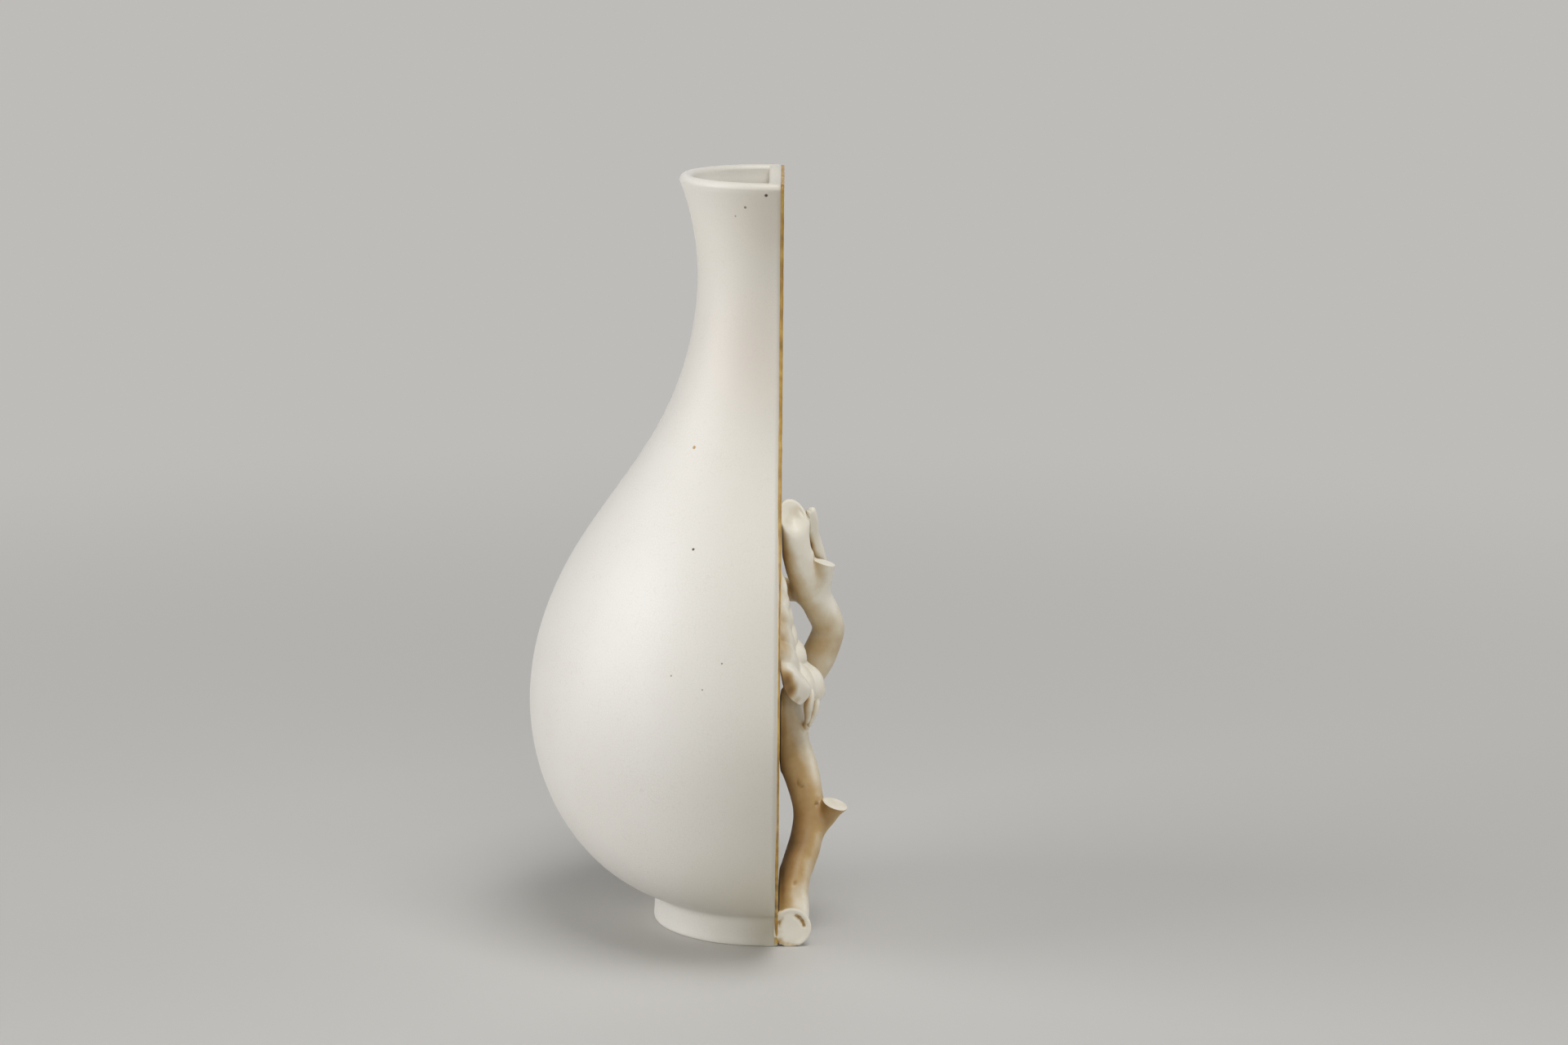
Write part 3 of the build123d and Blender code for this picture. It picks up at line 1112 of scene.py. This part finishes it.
# Lower stub
# A side limb sawn off short and flared at its end, where the clay was pressed flat.
# It grows out of the branch's first bend with a soft fillet.
branch_piece("lower_stub", limb("lower_stub", count=60, columns=48, end=(PLAIN_CUT,), cut=LOWER_CUT))

# Upper stub
# A second side limb, cut off square, growing out of the branch above its elbow.
branch_piece("upper_stub", limb("upper_stub", count=60, columns=48, end=(PLAIN_CUT,), cut=UPPER_CUT))

# Limb prop
# A short limb behind the branch that is luted to the slab and holds the branch's upper half.
branch_piece("limb_prop", limb("limb_prop", count=60, columns=48))

# Side twig
# A thin roll of clay that leaves the branch behind the upper stub and leans back on its top.
branch_piece("side_twig", limb("side_twig", count=80, columns=32))

# Twig bud
# A pinched bud at the end of the twig, luted to the branch's sawn top.
branch_piece("twig_bud", limb("twig_bud", count=40, columns=32, end=(ROUND_TIP,)))

# Leaf blade
# A pinched sheet of clay with lobed margins, pressed up in pillows that leave its veins as creases.
# Its upper part is pressed onto the slab, and its base swells out over the branch.
LEAF_HEART = (28.5, 112.0)
LEAF_THICKNESS = 2.6
MARGIN_ROLL = 0.3
MARGIN_STEPS = 320
LEAF_RINGS = 60
# Pillows of clay between the veins: middle along and up, half length, half width, turn, height
LEAF_PILLOWS = [
    (21.0, 101.4, 11.6, 5.9, 128.0, 4.2),
    (21.5, 111.5, 10.0, 5.4, 138.0, 1.8),
    (23.4, 119.4, 9.2, 5.2, 138.0, 1.5),
    (25.8, 126.6, 8.2, 4.8, 136.0, 1.3),
    (28.4, 133.0, 6.6, 4.2, 132.0, 1.0),
    (31.6, 98.6, 8.6, 4.6, 100.0, 2.2),
    (39.8, 95.6, 9.4, 6.2, 100.0, 3.8),
    (37.6, 111.4, 8.6, 4.8, 15.0, 2.4),
    (37.2, 119.0, 8.2, 5.0, 26.0, 1.4),
    (36.6, 126.0, 7.2, 4.6, 33.0, 1.2),
    (35.6, 132.6, 6.0, 4.2, 40.0, 1.0),
    (32.8, 138.4, 6.0, 3.6, 88.0, 0.9),
]
# How softly the pillows run together, and over how much of the margin its notches are rounded
PILLOW_BLEND = 3.0
NOTCH_ROUND = 9
# Swell of the leaf under its pillows, in lines across it: along, up, and out from the slab's face
LEAF_SWELL = [
    (33.0, 143.2, 1.2),
    (27.0, 137.0, 0.7), (32.0, 137.5, 1.8), (37.0, 136.5, 1.1),
    (20.5, 128.0, 0.7), (26.0, 128.5, 2.2), (30.8, 128.5, 3.1),
    (36.0, 128.5, 3.1), (41.0, 128.5, 1.7),
    (17.0, 120.0, 0.9), (23.5, 120.5, 2.9), (29.8, 120.5, 4.2),
    (36.5, 120.5, 4.6), (43.0, 120.0, 2.9),
    (14.5, 112.5, 1.4), (21.0, 112.0, 4.0), (29.0, 112.5, 5.9),
    (37.5, 113.5, 6.7), (37.5, 109.3, 8.4), (44.0, 112.0, 5.6),
    (12.5, 104.8, 2.3), (20.0, 103.5, 4.9), (28.5, 104.5, 7.8),
    (37.5, 105.6, 11.2), (39.6, 102.6, 13.3), (45.5, 104.0, 10.4),
    (14.0, 99.2, 3.0), (21.0, 99.0, 6.8), (28.0, 98.5, 10.0),
    (32.3, 98.5, 11.2), (39.5, 96.5, 14.0), (46.5, 96.5, 12.6),
    (17.6, 96.0, 5.2), (23.5, 94.4, 9.0), (27.5, 92.8, 10.4),
    (33.0, 90.4, 12.0), (40.5, 91.8, 14.8), (41.0, 87.6, 14.0),
]


def bending(a, b):
    """How a thin sheet pinned at places b bends at places a."""
    gap = ((a[:, None] - b[None]) ** 2).sum(axis=2)
    return gap * np.log(gap + 1e-9)


def leaf_swell(places):
    """Height of the leaf's face over the slab at each place, as a bent thin sheet."""
    pins = np.array(LEAF_SWELL)
    count = len(pins)
    flat = np.concatenate([np.ones((count, 1)), pins[:, :2]], axis=1)
    system = np.zeros((count + 3, count + 3))
    system[:count, :count] = bending(pins[:, :2], pins[:, :2])
    system[:count, count:] = flat
    system[count:, :count] = flat.T
    weights = np.linalg.solve(system, np.concatenate([pins[:, 2], np.zeros(3)]))
    plane = np.concatenate([np.ones((len(places), 1)), places], axis=1)
    return bending(places, pins[:, :2]) @ weights[:count] + plane @ weights[count:]


def pillow_frames():
    """Each pillow's middle and height, and what turns a place into shares of its two half sizes."""
    for along, up, half_long, half_wide, turn, high in LEAF_PILLOWS:
        lengthwise = (math.cos(math.radians(turn)), math.sin(math.radians(turn)))
        crosswise = (-lengthwise[1], lengthwise[0])
        shares = np.column_stack([np.array(lengthwise) / half_long, np.array(crosswise) / half_wide])
        yield np.array([along, up]), high, shares


def leaf_pillows(places):
    """How far the pillows stand out at each place. A soft crease is left where two of them meet."""
    total = np.zeros(len(places))
    for middle, high, shares in pillow_frames():
        off = (((places - middle) @ shares) ** 2).sum(axis=1)
        total += (high * np.clip(1 - off, 0, 1)) ** PILLOW_BLEND
    return total ** (1 / PILLOW_BLEND)


def leaf_margin(count):
    """The leaf's margin round its heart: the farthest point of any pillow in each direction."""
    turns = np.arange(count) * 2 * math.pi / count
    ways = np.column_stack([np.cos(turns), np.sin(turns)])
    reach = np.zeros(count)
    for middle, high, shares in pillow_frames():
        from_middle = (np.array(LEAF_HEART) - middle) @ shares
        way = ways @ shares
        half = way @ from_middle
        square = (way**2).sum(axis=1)
        left = half**2 - square * (from_middle @ from_middle - 1)
        reach = np.maximum(reach, (np.sqrt(np.clip(left, 0, None)) - half) / square * (left > 0))
    near = range(-NOTCH_ROUND // 2, NOTCH_ROUND // 2 + 1)
    reach = np.mean([np.roll(reach, step) for step in near], axis=0)
    return LEAF_HEART + ways * reach[:, None]


def leaf_mesh():
    """The blade's two faces on rings that shrink from its margin to its heart."""
    margin = leaf_margin(MARGIN_STEPS)
    heart = np.array(LEAF_HEART)
    face, back = [], []
    for share in np.sin(np.linspace(0, math.pi / 2, LEAF_RINGS)[1:]):
        places = heart + (margin - heart) * share
        lip = math.sqrt(1 - max(0.0, (share - 1 + MARGIN_ROLL) / MARGIN_ROLL) ** 2)
        swell = leaf_swell(places)
        height = swell - LEAF_THICKNESS / 2 * (1 - lip) + leaf_pillows(places) * lip
        under = swell - LEAF_THICKNESS / 2 * (1 + lip)
        face.append(on_slab(np.column_stack([height, places])))
        back.append(on_slab(np.column_stack([under, places])))
    middle = leaf_swell(heart[None])[0]
    top, low = on_slab([(middle, *heart), (middle - LEAF_THICKNESS, *heart)])
    return stacked(face + back[-2::-1], top, low)


branch_piece("leaf_blade", leaf_mesh())

# Leaf stalk
# A thin roll of clay from under the leaf's base, lying over the branch and luted to it.
branch_piece("leaf_stalk", limb("leaf_stalk", count=80, columns=32))

# Bud leaf
# A small folded leaf pinched from a scrap of clay, hanging behind the stalk.
branch_piece("bud_leaf", limb("bud_leaf", count=50, columns=32, end=(ROUND_TIP,)))

# The iron wash on the branch, with painted shade laid into it
# It was brushed over everything and wiped off with a sponge, so it is left where a sponge can't reach.
# Painted shade darkens it further on sides facing the slab, low on the trunk and under bends
SPONGE_REACH = 14.0
SPONGE_STROKES = 40
SPONGE_LIFT = 0.15
SPONGE_GRAZE = 0.15
# Share of the wash that stays in a shut recess, and in a mark for each millimetre of its depth
RECESS_WASH = 0.28
MARK_WASH = 0.7
# How far out from the slab the clay faces for the three shares below
FACINGS = (-0.7, -0.05, 0.65)
# How much of the wash the sponge left, with painted shade in it: level, then shares facing the slab, between,
# and facing outwards
# The shares are raised low on the trunk, under the elbow and on sides facing the slab as painted shade
LIMB_WASH_AND_SHADE = [
    (0.0, 0.08, 0.06, 0.05),
    (12.0, 0.20, 0.10, 0.08),
    (18.0, 0.54, 0.34, 0.22),
    (26.0, 0.80, 0.52, 0.34),
    (36.0, 0.94, 0.72, 0.38),
    (45.0, 0.72, 0.60, 0.44),
    (57.0, 0.52, 0.54, 0.28),
    (66.0, 0.40, 0.42, 0.16),
    (76.0, 0.34, 0.36, 0.13),
    (86.0, 0.20, 0.18, 0.06),
    (98.0, 0.24, 0.28, 0.18),
    (112.0, 0.38, 0.40, 0.30),
    (121.0, 0.32, 0.28, 0.16),
    (131.0, 0.32, 0.20, 0.03),
    (141.0, 0.38, 0.18, 0.04),
    (150.0, 0.32, 0.05, 0.02),
    (160.0, 0.08, 0.04, 0.03),
    (172.0, 0.04, 0.03, 0.03),
]
# The same for the leaf, painted darker on its side towards the slab as shade
LEAF_WASH_AND_SHADE = [
    (80.0, 0.38, 0.20, 0.05),
    (110.0, 0.54, 0.20, 0.05),
    (143.0, 0.44, 0.24, 0.04),
]
# Spots of pooled wash and of painted shade: place, reach, share
WASH_AND_SHADE_POOLS = [
    # Painted shade down the near leaf lobe's lower left flank, over some wash
    ((1.6, 12.0, 105.0), 6.5, 0.45),
    ((3.0, 13.6, 100.5), 5.5, 0.50),
    ((4.6, 15.5, 97.4), 5.0, 0.58),
    ((6.4, 14.6, 101.0), 4.5, 0.40),
    ((4.4, 13.0, 105.0), 4.5, 0.35),
    ((7.0, 19.5, 94.4), 3.2, 0.25),
    # Wash and painted shade on the leaf beside the slab
    ((1.6, 17.0, 117.0), 8.0, 0.20),
    ((1.2, 20.0, 126.0), 8.0, 0.15),
    # Wash pooled in the log end's groove
    ((10.1, 1.3, 8.3), 1.5, 0.50),
    ((9.5, 1.3, 10.0), 1.5, 0.55),
    ((8.3, 1.3, 11.4), 1.5, 0.45),
    ((7.0, 1.3, 12.2), 1.4, 0.30),
    # Ochre slip in the seam between the log and the slab
    ((0.3, 0.8, 9.6), 1.4, 0.45),
    # Painted shade on the twig's side behind the branch
    ((10.8, 49.0, 152.0), 3.5, 0.45),
    ((12.6, 51.8, 145.5), 3.5, 0.45),
    # Painted shade in the dish of the sawn top
    ((3.6, 40.5, 163.5), 4.5, 0.12),
    ((5.2, 41.6, 166.8), 5.0, 0.14),
]
# The wash, with painted shade, lies thicker along the slab, up to a level under the sawn top
SLAB_WASH_AND_SHADE = 0.18
SLAB_WASH_REACH = 3.0
SLAB_WASH_TOP = 158.0
SLAB_WASH_FADE = 8.0
# Half the width of the plain sheet that stands for the slab where the sponge's reach is tested
SLAB_HALF = 90.0
# How squarely a wiped face has to face its cut, from not at all to fully, and how much wash is wiped off
WIPED_FACING = (0.3, 0.7)
WIPED_OFF = 0.8


def wash_and_shade_left(places, facings, rows):
    """Share of the wash and painted shade at each place, for the way that the clay faces there."""
    level, *shares = np.array(rows).T
    inner, between, outer = (np.interp(places[:, 2], level, share) for share in shares)
    turn = np.interp(facings[:, 0], FACINGS[:2], (0, 1))
    past = np.interp(facings[:, 0], FACINGS[1:], (0, 1))
    share = inner + (between - inner) * turn + (outer - between) * past
    beside = np.clip(1 - (places[:, 0] - SLAB) / SLAB_WASH_REACH, 0, 1)
    share += SLAB_WASH_AND_SHADE * beside * np.clip((SLAB_WASH_TOP - places[:, 2]) / SLAB_WASH_FADE, 0, 1)
    for spot, way, reach in WIPED_FACES:
        off = np.linalg.norm(places - on_slab([spot])[0], axis=1)
        open_to = np.interp(facings @ np.array(way), WIPED_FACING, (0, 1))
        share *= 1 - WIPED_OFF * open_to * np.clip(reach - off, 0, 1)
    for spot, reach, pooled in WASH_AND_SHADE_POOLS:
        off = np.linalg.norm(places - on_slab([spot])[0], axis=1)
        share += pooled * np.clip(1 - (off / reach) ** 2, 0, 1) ** 2
    return share


# A spiral by the golden angle spreads the sponge's strokes evenly over all directions
golden = math.pi * (3 - math.sqrt(5))
strokes = []
for k in range(SPONGE_STROKES):
    rise = 1 - 2 * (k + 0.5) / SPONGE_STROKES
    wide = math.sqrt(1 - rise * rise)
    strokes.append(Vector((wide * math.cos(golden * k), wide * math.sin(golden * k), rise)))
points, faces = [], []
for limb_object in branch_pieces:
    base = len(points)
    points += [vertex.co.copy() for vertex in limb_object.data.vertices]
    faces += [[base + i for i in face.vertices] for face in limb_object.data.polygons]
base = len(points)
slab_corners = ((-SLAB_HALF, 0), (SLAB_HALF, 0), (SLAB_HALF, HEIGHT), (-SLAB_HALF, HEIGHT))
points += [Vector((SLAB, y, z)) * MM for y, z in slab_corners]
faces.append([base, base + 1, base + 2, base + 3])
clay = BVHTree.FromPolygons(points, faces)
for limb_object in branch_pieces:
    mesh = limb_object.data
    left = np.zeros(len(mesh.vertices), np.float32)
    for i, vertex in enumerate(mesh.vertices):
        start = vertex.co + vertex.normal * SPONGE_LIFT * MM
        shut = 0.0
        total = 0.0
        for stroke in strokes:
            facing = stroke.dot(vertex.normal)
            if facing < SPONGE_GRAZE:
                continue
            total += facing
            hit = clay.ray_cast(start, stroke, SPONGE_REACH * MM)
            if hit[0] is not None:
                shut += facing * (1 - hit[3] / (SPONGE_REACH * MM))
        left[i] = shut / total
    places = np.empty(len(mesh.vertices) * 3, np.float32)
    mesh.vertices.foreach_get("co", places)
    places = places.reshape(-1, 3) / MM
    facings = np.array([vertex.normal for vertex in mesh.vertices])
    rows = LEAF_WASH_AND_SHADE if "leaf" in limb_object.name else LIMB_WASH_AND_SHADE
    brushed_and_shaded = wash_and_shade_left(places, facings, rows)
    pressed = np.clip(bark_marks(places.astype(float)), 0, None)
    # The attribute carries the iron wash and the painted shade together
    wash_and_shade = np.clip(RECESS_WASH * left + brushed_and_shaded + MARK_WASH * pressed, 0, 1)
    layer = mesh.attributes.new("wash_and_shade", "FLOAT", "POINT")
    layer.data.foreach_set("value", wash_and_shade.astype(np.float32))

# Floor, soft studio light and the camera
# The camera stands where the photograph was taken from, a little above the mouth.
FLOOR = "C6C4C0"
FLOOR_REACH = 15.0
FLOOR_ROUGHNESS = 0.6
BACKDROP = "BEBCB9"
BACKDROP_START = 0.2
BACKDROP_FULL = 1.1
SKY = "DADADA"
SKY_STRENGTH = 0.08
floor_mesh = bpy.data.meshes.new("floor")
edge = FLOOR_REACH
corners = [(-edge, -edge, 0), (edge, -edge, 0), (edge, edge, 0), (-edge, edge, 0)]
floor_mesh.from_pydata(corners, [], [(0, 1, 2, 3)])
floor = bpy.data.objects.new("floor", floor_mesh)
bpy.context.scene.collection.objects.link(floor)
floor_paint, tree, place = glaze("pale_floor")
paint = put(tree, "ShaderNodeBsdfPrincipled", {"Base Color": colour(FLOOR), "Roughness": FLOOR_ROUGHNESS})
# Far from the object the floor keeps one pale tone to the eye, and gives the object no more light
far = put(tree, "ShaderNodeVectorMath", {0: place}, operation="LENGTH")
far = put(tree, "ShaderNodeMapRange", {
    "Value": far.outputs["Value"],
    "From Min": BACKDROP_START,
    "From Max": BACKDROP_FULL,
}, interpolation_type="SMOOTHSTEP")
ways = put(tree, "ShaderNodeLightPath").outputs
seen = ways["Is Camera Ray"]
for way in ("Is Glossy Ray", "Is Transmission Ray"):
    seen = put(tree, "ShaderNodeMath", {0: seen, 1: ways[way]}, operation="MAXIMUM")
seen = put(tree, "ShaderNodeMath", {0: seen, 1: far}, operation="MULTIPLY")
tone = put(tree, "ShaderNodeEmission", {"Color": colour(BACKDROP)})
both = put(tree, "ShaderNodeMixShader", {0: seen, 1: paint, 2: tone})
put(tree, "ShaderNodeOutputMaterial", {"Surface": both})
floor_mesh.materials.append(floor_paint)

world = bpy.data.worlds.new("studio")
bpy.context.scene.world = world
world.use_nodes = True
world.node_tree.nodes["Background"].inputs["Color"].default_value = colour(SKY)
world.node_tree.nodes["Background"].inputs["Strength"].default_value = SKY_STRENGTH

# Soft lamps, aimed at the belly: name, place in metres, width, power
AIM = Vector((0, 0, 0.14))
LAMPS = [
    ("key", (-1.75, -0.4, 0.7), 1.5, 25.0),
    ("fill", (0.45, -1.95, 0.5), 0.8, 8.0),
    ("side", (1.9, 0.4, 0.6), 1.2, 8.5),
    ("top", (0.3, -0.45, 1.95), 1.2, 24.0),
    ("back", (0.2, 1.95, 0.6), 1.4, 4.0),
]
for name, spot, wide, power in LAMPS:
    lamp = bpy.data.lights.new(name, "AREA")
    lamp.size = wide
    lamp.energy = power
    hung = bpy.data.objects.new(name, lamp)
    hung.location = spot
    hung.rotation_euler = (AIM - Vector(spot)).to_track_quat("-Z", "Y").to_euler()
    bpy.context.scene.collection.objects.link(hung)

CAMERA_PLACE = (7.0, -1637.0, 490.0)
CAMERA_PITCH = math.radians(11.35)
CAMERA_ROLL = math.radians(0.5)
# How far away the picture lies, and how wide it is, in pixels
PICTURE_DISTANCE = 5164
PICTURE_WIDTH = 1920
SENSOR = 36.0
SIGHT = 50.0
lens = bpy.data.cameras.new("camera")
lens.lens = PICTURE_DISTANCE / PICTURE_WIDTH * SENSOR
lens.sensor_width = SENSOR
lens.clip_end = SIGHT
camera = bpy.data.objects.new("camera", lens)
bpy.context.scene.collection.objects.link(camera)
turn = Matrix.Rotation(math.pi / 2 - CAMERA_PITCH, 4, "X") @ Matrix.Rotation(CAMERA_ROLL, 4, "Z")
camera.matrix_world = Matrix.Translation(Vector(CAMERA_PLACE) * MM) @ turn
bpy.context.scene.camera = camera
bpy.context.scene.view_settings.view_transform = "Standard"
